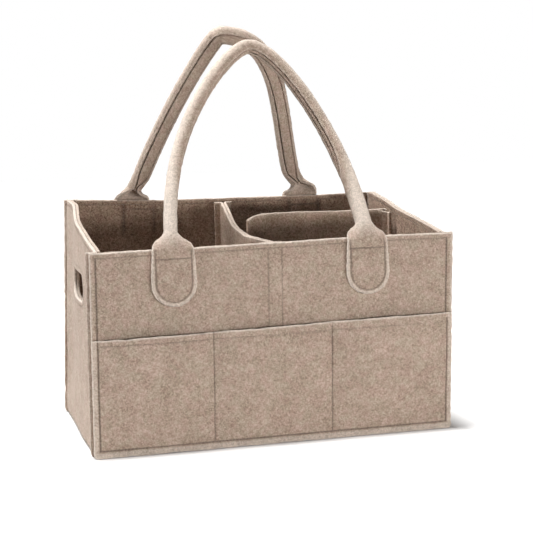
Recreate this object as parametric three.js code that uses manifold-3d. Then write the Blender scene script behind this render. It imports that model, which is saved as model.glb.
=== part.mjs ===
// A felt caddy: a sewn box of two-ply felt walls, a removable T-shaped divider,
// three outside pockets and two rolled carrying handles.
// Millimetres, +Z up, X along the length, Y from the front to the back.
// The origin is at the middle of the footprint, on the surface that it stands on.
import * as THREE from 'three';
import { mergeVertices } from 'three/addons/utils/BufferGeometryUtils.js';
import Module from 'manifold-3d';

const wasm = await Module();
wasm.setup();

// Driving sizes of the box
const length = 330.2;
const depth = 228.6;
const frontHeight = 177.8;
const backHeight = 210;
const felt = 2.75;
const plyGap = 0.3;
const seamMargin = 6.5;
const marginPeek = 1.5;
const cornerBend = 6.6;
const panelCorner = 3;
const cutOverrun = 5;

// Outside pockets
const pocketCount = 3;
const pocketHeight = 102;
const pocketSlack = 6;
const footSeamZ = 6;
const pocketColumns = 12;
const pocketRows = 9;
const bulgeAcrossPower = 0.7;
const bulgeUpPower = 0.8;

// Hand slots in the side walls
const slotLength = 94;
const slotHeight = 25;
const slotMiddleZ = 139;
const slotMiddleDepthShare = 0.53;

// Top edges: each point is a share of the depth and of the rise from front to back height
const wallLineShares = [[0, 0], [0.575, 0.58]];
const wallCurveShares = [[0.66, 0.7], [0.78, 0.98], [0.95, 1]];
const spineLineShares = [[0, 0], [0.48, 0], [0.64, 0.12]];
const spineCurveShares = [[0.82, 0.3], [0.8, 0.6], [0.98, 0.94]];

// Removable divider and its hook and loop tapes
const crossDepthShare = 0.585;
const crossTopShare = 0.575;
const swingLimit = 25;
const crossDipDrop = 4;
const crossDipLength = 20;
const tapeThickness = 1.2;
const tapeWidth = 15;
const tapeBottomZ = 24;
const tapeTopDrop = 12;
const sideTapeDrop = 6;
const flapReach = 9;
const slideClearance = 0.35;
const floorClearance = 1.2;
const swingClearance = 0.45;

// Handles: a felt strip with round tabs, rolled round a soft core
const tabSpacing = 176;
const tabWidth = 40;
const tabDrop = 49;
const hingeRise = 1.5;
const foldGap = 0.55;
const stripWidth = 36;
const rollStart = 1.5;
const rollLength = 17;
const rollPower = 1.4;
const flatRoll = 0.05;
const coreInset = 15;
const coreClearance = 0.35;
const sectionSteps = 12;
const coreSides = 10;
const rowSpacing = 11.5;
const shoulderRowSpacing = 2.8;
const frontHandle = {
  name: 'front', rise: 187, lean: 21, roll: 2.75, wideShare: 0.82, deepShare: 1.06, crownShare: 0.02,
  rightFoot: { upShare: 0.43, crownShare: 0.35 },
  leftFoot: { upShare: 0.54, crownShare: 0.24 },
};
const backHandle = {
  name: 'back', rise: 187, lean: 30, roll: 2.4, wideShare: 1.05, deepShare: 0.92, crownShare: -0.05,
  rightFoot: { upShare: 0.28, crownShare: 0.66 },
  leftFoot: { upShare: 0.32, crownShare: 0.3 },
};

// Places worked out from the sizes above
const wallOuterX = length / 2 - seamMargin;
const wallInnerX = wallOuterX - felt;
const liningOuterX = wallInnerX - plyGap;
const liningInnerX = liningOuterX - felt;
const panelEndX = length / 2 - marginPeek;
const frontFaceY = -depth / 2 + pocketSlack + felt + plyGap;
const backFaceY = depth / 2 - plyGap - felt;
const boxDepth = backFaceY - frontFaceY;
const stripFrontY = frontFaceY + felt + plyGap;
const stripBackY = backFaceY - felt - plyGap;
const liningFrontY = stripFrontY + felt;
const liningBackY = stripBackY - felt;
const liningBottomZ = felt + plyGap;
const liningBend = cornerBend - felt - plyGap;
const floorTopZ = liningBottomZ + felt;
const dividerBottomZ = floorTopZ + floorClearance;
const rise = backHeight - frontHeight;
const crossY = frontFaceY + boxDepth * crossDepthShare;
const crossTopZ = frontHeight + rise * crossTopShare;
const tapeTopZ = frontHeight - tapeTopDrop;
const sideTapeTopZ = slotMiddleZ - slotHeight / 2 - sideTapeDrop;
const spineSplit = plyGap / 2;
const spineFaceX = spineSplit + felt;
const crossStartX = spineFaceX + spineFaceX * Math.tan(THREE.MathUtils.degToRad(swingLimit)) + plyGap;
const hingeClearance = felt / 2 + foldGap;

const colours = { felt: '#b3a08c', lining: '#a8947f', loop: '#9b8a78', hook: '#8d7c6b', core: '#b8a692' };

const part = new THREE.Group();

// Adds one named piece of the object to a group
function addPiece(name, shape, colour, group = part) {
  const material = new THREE.MeshStandardMaterial({ color: colour, roughness: 0.95, metalness: 0 });
  const geometry = shape instanceof THREE.BufferGeometry ? shape : toGeometry(shape);
  const mesh = new THREE.Mesh(geometry, material);
  mesh.name = name;
  group.add(mesh);
}

function toSolid(geometry) {
  geometry.deleteAttribute('normal');
  geometry.deleteAttribute('uv');
  const merged = mergeVertices(geometry);
  return new wasm.Manifold(new wasm.Mesh({
    numProp: 3,
    vertProperties: new Float32Array(merged.attributes.position.array),
    triVerts: new Uint32Array(merged.index.array),
  }));
}

function toGeometry(solid) {
  const mesh = solid.getMesh();
  const geometry = new THREE.BufferGeometry();
  geometry.setAttribute('position', new THREE.BufferAttribute(mesh.vertProperties, 3));
  geometry.setIndex(new THREE.BufferAttribute(mesh.triVerts, 1));
  return geometry;
}

function outlineOf(points) {
  return new THREE.Shape(points.map(([u, v]) => new THREE.Vector2(u, v)));
}

// Turns a shape drawn in XY so that it lies in YZ and runs along X
const alongX = new THREE.Matrix4().set(0, 0, 1, 0, 1, 0, 0, 0, 0, 1, 0, 0, 0, 0, 0, 1);

// A straight prism of an outline: drawn in XY and raised along Z,
// in YZ and run along X, or in XZ and run along Y
function prism(axis, outline, start, end) {
  const shape = outline instanceof THREE.Shape ? outline : outlineOf(outline);
  const geometry = new THREE.ExtrudeGeometry(shape, { depth: end - start, bevelEnabled: false, curveSegments: 8 });
  if (axis === 'y') {
    geometry.translate(0, 0, -end);
    geometry.rotateX(Math.PI / 2);
    return toSolid(geometry);
  }
  geometry.translate(0, 0, start);
  if (axis === 'x') geometry.applyMatrix4(alongX);
  return toSolid(geometry);
}

function box(low, high) {
  return prism('z', [[low[0], low[1]], [high[0], low[1]], [high[0], high[1]], [low[0], high[1]]], low[2], high[2]);
}

// A closed sheet between two grids of points, rows by columns
function sheetSolid(outer, inner) {
  const rows = outer.length;
  const cols = outer[0].length;
  const at = (side, row, col) => (side * rows + row) * cols + col;
  const faces = [];
  const quad = (a, b, c, d) => faces.push(a, b, c, a, c, d);
  for (let row = 0; row < rows - 1; row += 1) {
    for (let col = 0; col < cols - 1; col += 1) {
      quad(at(0, row, col), at(0, row, col + 1), at(0, row + 1, col + 1), at(0, row + 1, col));
      quad(at(1, row, col), at(1, row + 1, col), at(1, row + 1, col + 1), at(1, row, col + 1));
    }
    quad(at(0, row, 0), at(0, row + 1, 0), at(1, row + 1, 0), at(1, row, 0));
    const last = cols - 1;
    quad(at(0, row, last), at(1, row, last), at(1, row + 1, last), at(0, row + 1, last));
  }
  for (let col = 0; col < cols - 1; col += 1) {
    quad(at(0, 0, col), at(1, 0, col), at(1, 0, col + 1), at(0, 0, col + 1));
    const last = rows - 1;
    quad(at(0, last, col), at(0, last, col + 1), at(1, last, col + 1), at(1, last, col));
  }
  const geometry = new THREE.BufferGeometry();
  geometry.setFromPoints([...outer.flat(), ...inner.flat()]);
  geometry.setIndex(faces);
  return geometry;
}

// A closed tube through rings of points, with flat ends
function ringSolid(rings) {
  const sides = rings[0].length;
  const points = [...rings.flat()];
  const faces = [];
  for (let row = 0; row < rings.length - 1; row += 1) {
    for (let side = 0; side < sides; side += 1) {
      const next = (side + 1) % sides;
      const a = row * sides + side;
      const b = row * sides + next;
      faces.push(a, b, b + sides, a, b + sides, a + sides);
    }
  }
  const lastStart = (rings.length - 1) * sides;
  for (let side = 1; side < sides - 1; side += 1) {
    faces.push(0, side + 1, side);
    faces.push(lastStart, lastStart + side, lastStart + side + 1);
  }
  const geometry = new THREE.BufferGeometry();
  geometry.setFromPoints(points);
  geometry.setIndex(faces);
  return geometry;
}

const depthAt = (share) => frontFaceY + boxDepth * share;
const heightAt = (share) => frontHeight + rise * share;

// Everything above a top edge that climbs from the front to the back
function aboveEdge(lineShares, curveShares) {
  const top = backHeight + cutOverrun;
  const [first, second, end] = curveShares;
  const outline = new THREE.Shape();
  outline.moveTo(-depth, frontHeight);
  for (const [along, up] of lineShares) outline.lineTo(depthAt(along), heightAt(up));
  outline.bezierCurveTo(
    depthAt(first[0]), heightAt(first[1]),
    depthAt(second[0]), heightAt(second[1]),
    depthAt(end[0]), heightAt(end[1]),
  );
  outline.lineTo(depth, heightAt(end[1]));
  outline.lineTo(depth, top);
  outline.lineTo(-depth, top);
  return prism('x', outline, -length, length);
}

// A panel with its two lower corners rounded
function panelOutline(halfX, bottomZ, topZ, radius) {
  const outline = new THREE.Shape();
  outline.moveTo(-halfX, topZ);
  outline.lineTo(-halfX, bottomZ + radius);
  outline.absarc(-halfX + radius, bottomZ + radius, radius, Math.PI, 1.5 * Math.PI, false);
  outline.absarc(halfX - radius, bottomZ + radius, radius, 1.5 * Math.PI, 2 * Math.PI, false);
  outline.lineTo(halfX, topZ);
  return outline;
}

function handSlots() {
  const straight = (slotLength - slotHeight) / 2;
  const middleY = depthAt(slotMiddleDepthShare);
  const outline = new THREE.Shape();
  outline.absarc(middleY + straight, slotMiddleZ, slotHeight / 2, -0.5 * Math.PI, 0.5 * Math.PI, false);
  outline.absarc(middleY - straight, slotMiddleZ, slotHeight / 2, 0.5 * Math.PI, 1.5 * Math.PI, false);
  return prism('x', outline, -length / 2 - cutOverrun, length / 2 + cutOverrun);
}

// A U across the length: two side walls and a floor in one strip of felt
function wallStrip(outerX, bottomZ, bend, nearY, farY) {
  const hollow = panelOutline(outerX - felt, bottomZ + felt, backHeight + cutOverrun, bend - felt);
  return prism('y', panelOutline(outerX, bottomZ, backHeight, bend), nearY, farY)
    .subtract(prism('y', hollow, -depth, depth))
    .subtract(aboveEdge(wallLineShares, wallCurveShares))
    .subtract(handSlots());
}

// The seam margin of the strip, turned out behind the end of the front or back panel
function seamFlange(nearY) {
  const hollow = panelOutline(wallInnerX, felt, backHeight + cutOverrun, cornerBend - felt);
  return prism('y', panelOutline(length / 2, 0, backHeight, cornerBend), nearY, nearY + felt)
    .subtract(prism('y', hollow, -depth, depth))
    .subtract(aboveEdge(wallLineShares, wallCurveShares));
}

function sideAndBaseStrip() {
  return wallStrip(wallOuterX, 0, cornerBend, stripFrontY, stripBackY)
    .add(seamFlange(stripFrontY))
    .add(seamFlange(stripBackY - felt));
}

function sideAndBaseLining() {
  return wallStrip(liningOuterX, liningBottomZ, liningBend, liningFrontY + plyGap, liningBackY - plyGap);
}

function endPanel(nearY, height) {
  return prism('y', panelOutline(panelEndX, 0, height, panelCorner), nearY, nearY + felt);
}

function endLining(nearY, height) {
  return prism('y', panelOutline(liningOuterX, liningBottomZ, height, liningBend), nearY, nearY + felt);
}

// One panel sewn at its ends, its foot and two upright seams, so that it stands off as three pockets
function frontPocketPanel() {
  const seams = [-wallOuterX];
  for (let seam = 1; seam < pocketCount; seam += 1) seams.push(panelEndX * (2 * seam / pocketCount - 1));
  seams.push(wallOuterX);
  const columns = [[-panelEndX, 0]];
  for (let pocket = 0; pocket < pocketCount; pocket += 1) {
    for (let step = 0; step < pocketColumns; step += 1) {
      const along = step / pocketColumns;
      const x = seams[pocket] + (seams[pocket + 1] - seams[pocket]) * along;
      columns.push([x, pocketSlack * Math.sin(Math.PI * along) ** bulgeAcrossPower]);
    }
  }
  columns.push([wallOuterX, 0], [panelEndX, 0]);
  const levels = [0];
  for (let row = 0; row <= pocketRows; row += 1) levels.push(row / pocketRows);
  const rowAt = (seatY) => levels.map((up, row) => {
    const z = row === 0 ? 0 : footSeamZ + (pocketHeight - footSeamZ) * up;
    const lift = Math.sin(Math.PI / 2 * up) ** bulgeUpPower;
    return columns.map(([x, slack]) => new THREE.Vector3(x, seatY - slack * lift, z));
  });
  const seatY = frontFaceY - plyGap;
  const rounded = prism('y', panelOutline(panelEndX, 0, pocketHeight, panelCorner), -depth, depth);
  return toSolid(sheetSolid(rowAt(seatY - felt), rowAt(seatY))).intersect(rounded);
}

addPiece('side_and_base_strip', sideAndBaseStrip(), colours.felt);
addPiece('side_and_base_lining', sideAndBaseLining(), colours.lining);
addPiece('front_panel', endPanel(frontFaceY, frontHeight), colours.felt);
addPiece('front_lining', endLining(stripFrontY, frontHeight), colours.lining);
addPiece('back_panel', endPanel(backFaceY - felt, backHeight), colours.felt);
addPiece('back_lining', endLining(liningBackY, backHeight), colours.lining);
addPiece('front_pocket_panel', frontPocketPanel(), colours.felt);

// Loop tapes sewn to the linings, and the hook tapes that meet them on the divider's ends
const frontLoopY = liningFrontY + plyGap;
const backLoopY = liningBackY - plyGap;
const sideLoopX = liningInnerX - plyGap;
const frontHookY = frontLoopY + tapeThickness + slideClearance;
const backHookY = backLoopY - tapeThickness - slideClearance;
const sideHookX = sideLoopX - tapeThickness - swingClearance;

function tape(low, high, topZ = tapeTopZ) {
  return box([low[0], low[1], tapeBottomZ], [high[0], high[1], topZ]);
}

const halfTape = tapeWidth / 2;
addPiece('front_loop_tape', tape([-halfTape, frontLoopY], [halfTape, frontLoopY + tapeThickness]), colours.loop);
addPiece('back_loop_tape', tape([-halfTape, backLoopY - tapeThickness], [halfTape, backLoopY]), colours.loop);
addPiece('right_side_loop_tape',
  tape([sideLoopX - tapeThickness, crossY - halfTape], [sideLoopX, crossY + halfTape], sideTapeTopZ),
  colours.loop);

// Divider: a spine of two plies from front to back; its right-hand ply is the turned part
// of the two cross sheets, and every end is turned out into a flap for a tape
const spineFrontY = frontHookY + tapeThickness + plyGap;
const spineBackY = backHookY - tapeThickness - plyGap;
const crossEndX = sideHookX - tapeThickness - plyGap;

function dividerSheet(points) {
  const sheet = prism('z', points, dividerBottomZ, backHeight);
  return sheet.subtract(aboveEdge(spineLineShares, spineCurveShares));
}

function spineSide(side, nearY, farY, flapNear, flapFar) {
  const inX = side * spineSplit;
  const outX = side * spineFaceX;
  const flapX = side * flapReach;
  const points = [[inX, nearY]];
  if (flapNear) points.push([flapX, nearY], [flapX, nearY + felt]);
  points.push([outX, nearY + (flapNear ? felt : 0)]);
  points.push([outX, farY - (flapFar ? felt : 0)]);
  if (flapFar) points.push([flapX, farY - felt], [flapX, farY]);
  points.push([inX, farY]);
  return dividerSheet(points);
}

addPiece('divider_left_sheet', spineSide(-1, spineFrontY, spineBackY, true, true), colours.felt);
addPiece('divider_front_right_sheet', spineSide(1, spineFrontY, crossY - spineSplit, true, false), colours.felt);
addPiece('divider_back_right_sheet', spineSide(1, crossY + spineSplit, spineBackY, false, true), colours.felt);
addPiece('front_hook_tape', tape([-halfTape, frontHookY], [halfTape, frontHookY + tapeThickness]), colours.hook);
addPiece('back_hook_tape', tape([-halfTape, backHookY - tapeThickness], [halfTape, backHookY]), colours.hook);

// Cross divider: two plies from the spine to the right side wall
function crossSheet(way) {
  const inY = crossY + way * spineSplit;
  const outY = crossY + way * spineFaceX;
  const flapY = crossY + way * flapReach;
  const points = [
    [crossStartX, inY], [crossEndX, inY], [crossEndX, flapY],
    [crossEndX - felt, flapY], [crossEndX - felt, outY], [crossStartX, outY],
  ];
  const sheet = prism('z', points, dividerBottomZ, crossTopZ);
  const dip = prism('y', [
    [0, crossTopZ - crossDipDrop], [crossStartX + crossDipLength, crossTopZ], [0, crossTopZ],
  ], -depth, depth);
  return sheet.subtract(dip);
}

addPiece('cross_divider_front_sheet', crossSheet(-1), colours.felt);
addPiece('cross_divider_back_sheet', crossSheet(1), colours.felt);
addPiece('right_side_hook_tape',
  tape([sideHookX - tapeThickness, crossY - halfTape], [sideHookX, crossY + halfTape], sideTapeTopZ),
  colours.hook);

// The arch of a handle in its own plane, from the left foot over the crown to the right foot.
// The two legs of the soft handle stand a little differently, and way is 1 where the plane faces back.
function archPath(spec, way) {
  const footX = tabSpacing / 2;
  const crown = new THREE.Vector2(-way * spec.crownShare * footX, spec.rise);
  const leg = (foot, side) => [
    new THREE.Vector2(side * footX, 0),
    new THREE.Vector2(side * footX, spec.rise * foot.upShare),
    new THREE.Vector2(crown.x + side * footX * foot.crownShare, spec.rise),
  ];
  const first = leg(way > 0 ? spec.rightFoot : spec.leftFoot, -1);
  const last = leg(way > 0 ? spec.leftFoot : spec.rightFoot, 1);
  const path = new THREE.CurvePath();
  path.add(new THREE.CubicBezierCurve(...first, crown));
  path.add(new THREE.CubicBezierCurve(crown, ...last.reverse()));
  return path;
}

// Distances along the arch: close together where the strip rolls up, then evenly spaced
function archStations(from, total) {
  const stations = [];
  for (let s = from; s < rollLength; s += shoulderRowSpacing) stations.push(s);
  const straight = total - 2 * rollLength;
  const rows = Math.round(straight / rowSpacing);
  for (let row = 0; row <= rows; row += 1) stations.push(rollLength + straight * row / rows);
  for (const s of stations.filter((one) => one < rollLength).reverse()) stations.push(total - s);
  return stations;
}

// How the strip is rolled at a distance from its nearer foot: half angle, radius and stretch
function rollAt(spec, fromFoot) {
  const t = THREE.MathUtils.clamp((fromFoot - rollStart) / (rollLength - rollStart), 0, 1);
  const eased = 1 - (1 - t) ** rollPower;
  const angle = flatRoll + (spec.roll - flatRoll) * eased;
  const width = tabWidth + (stripWidth - tabWidth) * eased;
  return {
    angle,
    radius: width / (2 * angle),
    wide: 1 + (spec.wideShare - 1) * eased,
    deep: 1 + (spec.deepShare - 1) * eased,
  };
}

// A point of the handle: across the strip and towards the inside of the caddy, at a place on the arch
function archPoint(path, total, s, across, inward) {
  const share = s / total;
  const at = path.getPointAt(share);
  const along = path.getTangentAt(share);
  return new THREE.Vector3(at.x - along.y * across, inward, at.y + along.x * across);
}

function handleCover(spec, path, total) {
  const outer = [];
  const inner = [];
  for (const s of archStations(hingeClearance, total)) {
    const roll = rollAt(spec, Math.min(s, total - s));
    const row = (offset) => {
      const points = [];
      for (let step = 0; step <= sectionSteps; step += 1) {
        const angle = roll.angle * (1 - 2 * step / sectionSteps);
        const reach = roll.radius + offset;
        const across = reach * Math.sin(angle) * roll.wide;
        const inward = (roll.radius - reach * Math.cos(angle)) * roll.deep;
        points.push(archPoint(path, total, s, across, inward));
      }
      return points;
    };
    outer.push(row(felt / 2));
    inner.push(row(-felt / 2));
  }
  return sheetSolid(outer, inner);
}

function handleCore(spec, path, total) {
  const rings = archStations(coreInset, total).map((s) => {
    const roll = rollAt(spec, Math.min(s, total - s));
    const reach = roll.radius - felt / 2 - coreClearance;
    const ring = [];
    for (let side = 0; side < coreSides; side += 1) {
      const angle = 2 * Math.PI * side / coreSides;
      const across = reach * Math.sin(angle) * roll.wide;
      const inward = (roll.radius - reach * Math.cos(angle)) * roll.deep;
      ring.push(archPoint(path, total, s, -across, inward));
    }
    return ring;
  });
  return ringSolid(rings);
}

// A tab: round at its foot, lying on the outside of the wall, with its top edge rounded for the fold
function handleTab(middleX) {
  const radius = tabWidth / 2;
  const outline = new THREE.Shape();
  outline.moveTo(middleX + radius, 0);
  outline.lineTo(middleX + radius, radius - tabDrop - hingeRise);
  outline.absarc(middleX, radius - tabDrop - hingeRise, radius, 0, -Math.PI, true);
  outline.lineTo(middleX - radius, 0);
  const fold = new THREE.Shape().absarc(0, 0, felt / 2, 0, 2 * Math.PI, false);
  return prism('y', outline, -felt / 2, felt / 2).add(prism('x', fold, middleX - radius, middleX + radius));
}

function addHandle(spec, faceY, way, wallTopZ) {
  const place = new THREE.Group();
  place.position.set(0, faceY + way * (plyGap + felt / 2), wallTopZ + hingeRise);
  if (way > 0) place.rotation.z = Math.PI;
  part.add(place);
  const sides = way > 0 ? ['right', 'left'] : ['left', 'right'];
  addPiece(`${spec.name}_handle_${sides[0]}_tab`, handleTab(-tabSpacing / 2), colours.felt, place);
  addPiece(`${spec.name}_handle_${sides[1]}_tab`, handleTab(tabSpacing / 2), colours.felt, place);
  const arch = new THREE.Group();
  arch.rotation.x = -THREE.MathUtils.degToRad(spec.lean);
  place.add(arch);
  const path = archPath(spec, way);
  const total = path.getLength();
  addPiece(`${spec.name}_handle_cover`, handleCover(spec, path, total), colours.felt, arch);
  addPiece(`${spec.name}_handle_core`, handleCore(spec, path, total), colours.core, arch);
}

addHandle(frontHandle, frontFaceY, -1, frontHeight);
addHandle(backHandle, backFaceY, 1, backHeight);

export default part;
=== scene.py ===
"""Dresses the felt caddy: sewn felt sheets, rolled handles, stitching, studio and camera.

Lengths are written in millimetres, in the same frame as the solids, and scaled once
when a mesh is made.
"""
import math

import bpy
import numpy as np
from mathutils import Matrix, Vector


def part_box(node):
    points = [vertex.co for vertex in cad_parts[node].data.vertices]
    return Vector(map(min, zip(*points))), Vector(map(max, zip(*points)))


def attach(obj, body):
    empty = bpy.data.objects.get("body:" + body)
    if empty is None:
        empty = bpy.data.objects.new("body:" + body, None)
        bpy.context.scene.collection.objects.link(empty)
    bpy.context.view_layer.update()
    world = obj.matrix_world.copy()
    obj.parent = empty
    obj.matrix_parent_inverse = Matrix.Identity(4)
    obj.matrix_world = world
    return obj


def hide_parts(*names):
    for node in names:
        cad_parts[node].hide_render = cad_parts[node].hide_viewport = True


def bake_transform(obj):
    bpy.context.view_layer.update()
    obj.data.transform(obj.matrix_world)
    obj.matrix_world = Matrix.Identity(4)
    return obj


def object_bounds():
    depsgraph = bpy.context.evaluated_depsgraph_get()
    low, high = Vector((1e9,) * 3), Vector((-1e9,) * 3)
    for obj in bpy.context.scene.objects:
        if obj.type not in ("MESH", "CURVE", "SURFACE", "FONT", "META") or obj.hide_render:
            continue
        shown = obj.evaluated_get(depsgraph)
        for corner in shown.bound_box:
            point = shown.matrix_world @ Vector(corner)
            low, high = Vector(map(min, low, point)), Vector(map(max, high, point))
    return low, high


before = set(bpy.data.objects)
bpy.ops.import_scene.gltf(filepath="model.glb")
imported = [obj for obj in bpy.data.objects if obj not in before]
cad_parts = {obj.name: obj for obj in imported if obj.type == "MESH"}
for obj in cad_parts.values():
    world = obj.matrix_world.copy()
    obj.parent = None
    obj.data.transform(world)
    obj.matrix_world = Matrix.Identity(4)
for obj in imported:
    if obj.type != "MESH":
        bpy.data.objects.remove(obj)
cad_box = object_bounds()

MM = 0.001

# Sizes shared with the solids
FELT = 2.75
PLY_GAP = 0.3
LENGTH = 330.2
BACK_HEIGHT = 210.0
CORNER_BEND = 6.6
PANEL_CORNER = 3.0
POCKET_HEIGHT = 102.0
POCKET_SLACK = 6.0
FOOT_SEAM_Z = 6.0
SLOT_LENGTH = 94.0
SLOT_HEIGHT = 25.0
SLOT_MIDDLE_Z = 139.0
SLOT_DEPTH_SHARE = 0.53
WALL_LINE_SHARES = ((0, 0), (0.575, 0.58))
WALL_CURVE_SHARES = ((0.66, 0.7), (0.78, 0.98), (0.95, 1))
SPINE_LINE_SHARES = ((0, 0), (0.48, 0), (0.64, 0.12))
SPINE_CURVE_SHARES = ((0.82, 0.3), (0.8, 0.6), (0.98, 0.94))
TAB_SPACING = 176.0
TAB_WIDTH = 40.0
HINGE_RISE = 1.5
STRIP_WIDTH = 36.0
CROSS_TAPE_REACH = 7.5

# Seams: how deep and wide they draw the felt in, and how strong each kind is
SEAM_DEPTH = 0.8
SEAM_HALF_WIDTH = 0.65
STRONG_SEAM = 1.0
CLEAR_SEAM = 0.7
FAINT_SEAM = 0.35
EDGE_SEAM_DROP = 4.6

# Felt: its slow swell, its fine grain and its ragged cut edges
SWELL = 0.35
SWELL_LENGTH = 80.0
SWELL_SEED = 11
GRAIN = 0.12
GRAIN_LENGTH = 7.0
GRAIN_SEED = 3
GRAIN_SIDE_SHIFT = 40.0
RAGGED_WAVES = ((0.22, 5.0, 6), (0.12, 2.2, 7))
RIM_INSET = 0.7
EDGE_PROFILE_SHARES = ((0.25, 0.84), (0, 0.4), (0, -0.4), (0.25, -0.84))
RIM_FACE_SHARE = 0.75
RIM_BESIDE_SHARE = 0.3

# Grid lines: how far apart, and how close beside seams and ends
GRID_STEP = 4.0
FINE_STEP = 3.2
SEAM_STEPS = (-2.6, -1.5, -0.8, -0.3, 0.3, 0.8, 1.5, 2.6)
SEAM_CLEARANCE = 3.4
END_CLEARANCE = 1.8
END_STEP = 1.0
LEAST_STEP = 0.35
CORNER_SQUEEZE = 30.0


def box_mm(node):
    low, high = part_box(node)
    return np.array(low) / MM, np.array(high) / MM


front_low, front_high = box_mm("front_panel")
PANEL_END_X = front_high[0]
FRONT_HEIGHT = front_high[2]
FRONT_FACE_Y = front_low[1]
BACK_FACE_Y = box_mm("back_panel")[1][1]
RISE = BACK_HEIGHT - FRONT_HEIGHT
BOX_DEPTH = BACK_FACE_Y - FRONT_FACE_Y
STRIP_FRONT_Y = FRONT_FACE_Y + FELT + PLY_GAP
STRIP_BACK_Y = BACK_FACE_Y - FELT - PLY_GAP
LINING_OUTER_X = box_mm("side_and_base_lining")[1][0]
WALL_OUTER_X = LINING_OUTER_X + FELT + PLY_GAP
SIDE_SEAM_X = WALL_OUTER_X - PLY_GAP
CROSS_Y = box_mm("right_side_hook_tape")[0][1] + CROSS_TAPE_REACH


# Small tools

def smooth(t, start=0, end=1):
    t = np.clip((t - start) / (end - start), 0, 1)
    return t * t * (3 - 2 * t)


def between(pair, t):
    return pair[0] + (pair[1] - pair[0]) * t


def unit(vectors):
    return vectors / np.maximum(np.linalg.norm(vectors, axis=-1, keepdims=True), 1e-9)


def cubic(t, p0, p1, p2, p3):
    return (1 - t) ** 3 * p0 + 3 * (1 - t) ** 2 * t * p1 + 3 * (1 - t) * t ** 2 * p2 + t ** 3 * p3


def waves(points, wavelength, seed):
    """Smooth seeded noise in space, mostly within -1 and 1."""
    rng = np.random.default_rng(seed)
    total = np.zeros(len(points))
    for _ in range(10):
        direction = rng.normal(size=3)
        direction /= np.linalg.norm(direction)
        turns = rng.uniform(0.7, 1.5) * 2 * math.pi / wavelength
        total += np.sin(points @ direction * turns + rng.uniform(0, 2 * math.pi))
    return total / 3


def edge_height(y, line_shares, curve_shares):
    """Height of a top edge that climbs from the front to the back."""
    curve = cubic(np.linspace(0, 1, 60)[:, None], *np.array([line_shares[-1], *curve_shares], float))
    points = np.vstack([line_shares[:-1], curve])
    points = points[np.argsort(points[:, 0])]
    return FRONT_HEIGHT + RISE * np.interp((y - FRONT_FACE_Y) / BOX_DEPTH, points[:, 0], points[:, 1])


def wall_top(y):
    return edge_height(y, WALL_LINE_SHARES, WALL_CURVE_SHARES)


# The soft box stands a little askew: how far its top moves, at four places from left to right
ALONG = (-LENGTH / 2, -60.0, 100.0, LENGTH / 2)
FRONT_LEAN = (3.4, 3.1, 4.4, 6.3)
BACK_LEAN = (8.0, 3.6, 1.8, 2.4)
FRONT_LIFT = (-0.3, 0.0, 1.6, 0.8)
BACK_LIFT = (2.6, -1.5, -3.2, -2.8)


def settled(points):
    up = np.clip(points[:, 2] / FRONT_HEIGHT, 0, BACK_HEIGHT / FRONT_HEIGHT)
    depth = np.clip((points[:, 1] - FRONT_FACE_Y) / BOX_DEPTH, 0, 1)
    moved = points.copy()
    for axis, ends in ((0, (FRONT_LEAN, BACK_LEAN)), (2, (FRONT_LIFT, BACK_LIFT))):
        moved[:, axis] += up * between([np.interp(points[:, 0], ALONG, end) for end in ends], depth)
    moved[:, 2] = np.maximum(moved[:, 2], 0)
    return moved


# Felt sheets: a flat grid, a place for each of its points, and a thickness

def thinned(values, least):
    kept = [values[0]]
    for value in values[1:]:
        if value - kept[-1] > least:
            kept.append(value)
    return np.array(kept)


def lines(start, end, step=GRID_STEP, seams=()):
    """Grid lines from start to end, close together beside each seam and at both ends."""
    values = np.linspace(start, end, max(1, round((end - start) / step)) + 1)[1:-1]
    for seam in seams:
        values = [v for v in values if abs(v - seam) > SEAM_CLEARANCE]
        values += [seam + d for d in SEAM_STEPS]
    values = sorted(v for v in values if start + END_CLEARANCE < v < end - END_CLEARANCE)
    return np.append(thinned([start, start + END_STEP, *values, end - END_STEP], LEAST_STEP), end)


def cells(index):
    """The quads between neighbours in a table of point numbers."""
    return np.stack([index[:-1, :-1], index[1:, :-1], index[1:, 1:], index[:-1, 1:]], -1).reshape(-1, 4)


def grid(columns, rows):
    """A grid of points and its quads. Columns run along u and rows along v."""
    u, v = np.meshgrid(columns, rows, indexing="ij")
    return np.stack([u, v], -1), cells(np.arange(u.size).reshape(u.shape))


def lengths_along(line):
    """How long a line of points is up to each of them."""
    return np.concatenate([[0], np.cumsum(np.linalg.norm(np.diff(line, axis=0), axis=1))])


def points_at(at, lengths, line):
    return np.stack([np.interp(at, lengths, values) for values in np.transpose(line)], -1)


def walk(line, fractions):
    """Points at fractions of the way along a line of points."""
    lengths = lengths_along(line)
    return points_at(fractions * lengths[-1], lengths, line)


def closed(ring):
    return np.vstack([ring, ring[:1]])


def distance_to(line, points):
    """Distance from each point to a line of points."""
    best = np.full(len(points), 1e9)
    for a, b in zip(line[:-1], line[1:]):
        ab = b - a
        t = np.clip((points - a) @ ab / max(ab @ ab, 1e-9), 0, 1)
        best = np.minimum(best, np.linalg.norm(points - a - t[:, None] * ab, axis=1))
    return best


def place_with_normal(place, uv, step=0.05):
    along_u = place(uv + (step, 0)) - place(uv - (step, 0))
    along_v = place(uv + (0, step)) - place(uv - (0, step))
    return place(uv), unit(np.cross(along_u, along_v))


def rim_lit_from_above(least):
    """How pale a cut edge looks: fully where it faces up, elsewhere the least share. The extra paleness of
    edges that face up is painted light from above.
    """
    def rim_share(uv, outward):
        return least + (1 - least) * np.clip(outward[:, 2], 0, 1)
    return rim_share


# Cut edges are pale felt; the share that grows as an edge faces up is painted light from above
top_light_rim = rim_lit_from_above(0.35)
even_rim = rim_lit_from_above(0.75)
lit_top_only_rim = rim_lit_from_above(0)


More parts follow.
